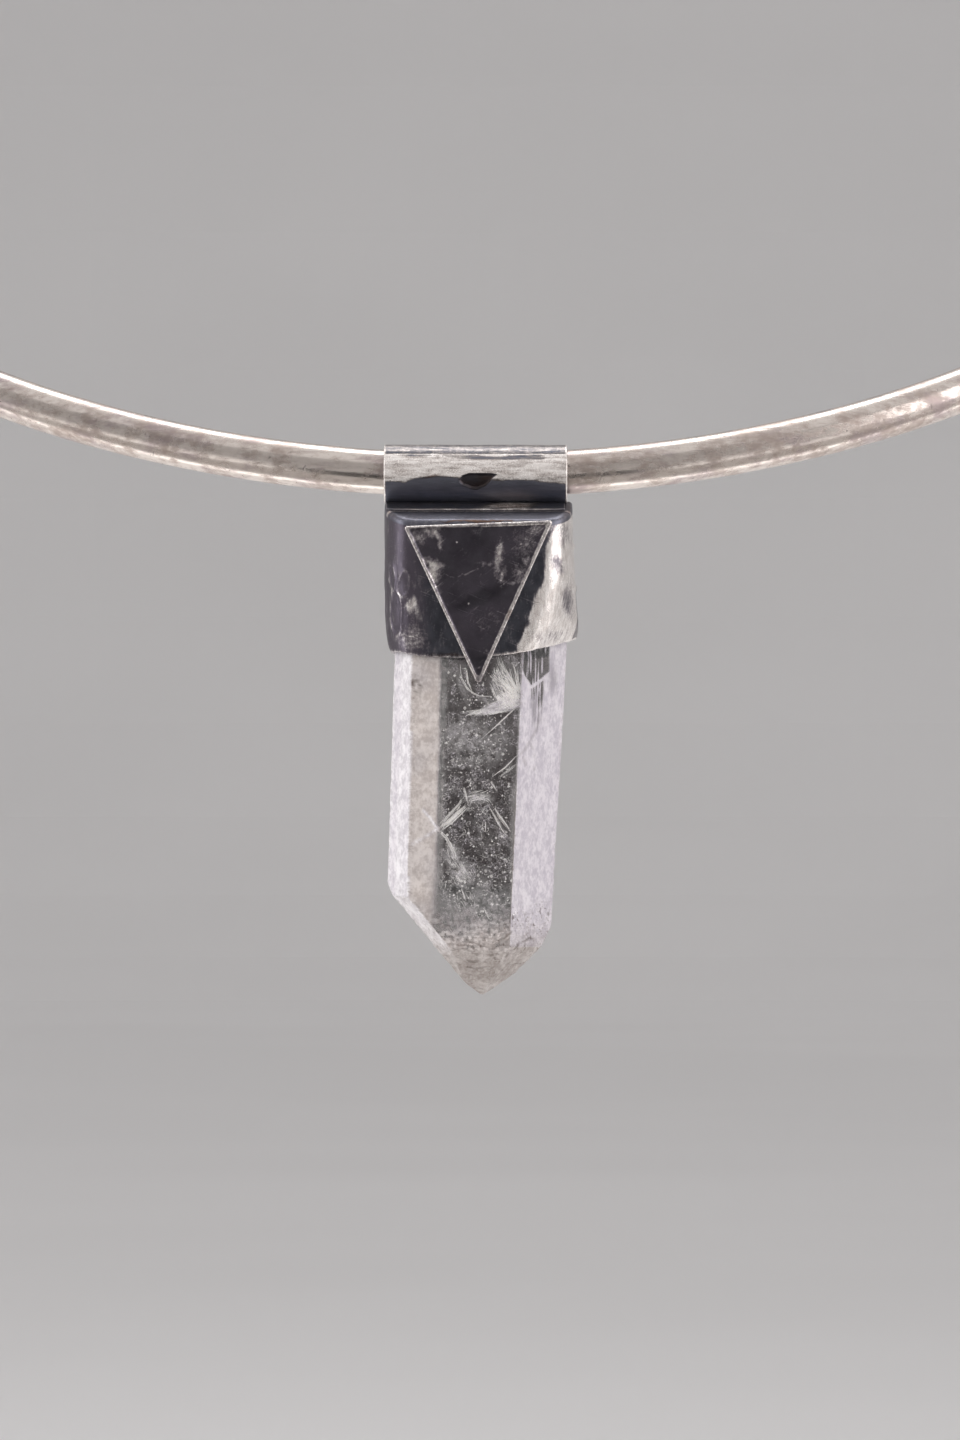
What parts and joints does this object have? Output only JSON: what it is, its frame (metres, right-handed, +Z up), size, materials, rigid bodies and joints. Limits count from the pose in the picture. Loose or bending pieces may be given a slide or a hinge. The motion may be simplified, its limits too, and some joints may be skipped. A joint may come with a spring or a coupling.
{
  "type": "crystal point pendant on a neck ring",
  "caption": "Six-sided crystal point in a crumpled silver cap with a three-cornered plate, hung by a rolled tube bail on a rigid round-wire neck ring.",
  "frame": {"origin": "where the ring rests on the nape: the innermost point of the clasp's sleeve, in the ring's plane", "axes": "+X to the right seen from the front, -Y towards the front, +Z up"},
  "size_m": [0.133, 0.1037, 0.124],
  "materials": {
    "ring_silver": "satin",
    "oxidised_silver": "satin",
    "rock_crystal": "gloss"
  },
  "bodies": {
    "collar": {"neck_ring": "ring_silver", "clasp": "ring_silver"},
    "pendant": {"setting": "oxidised_silver", "crystal": "rock_crystal"}
  },
  "joints": [
    {"name": "pendant_swing", "type": "hinge", "parent": "collar", "child": "pendant", "pos_m": [0, -0.09481, -0.08537], "axis": [1, 0, 0], "continuous": true}
  ]
}
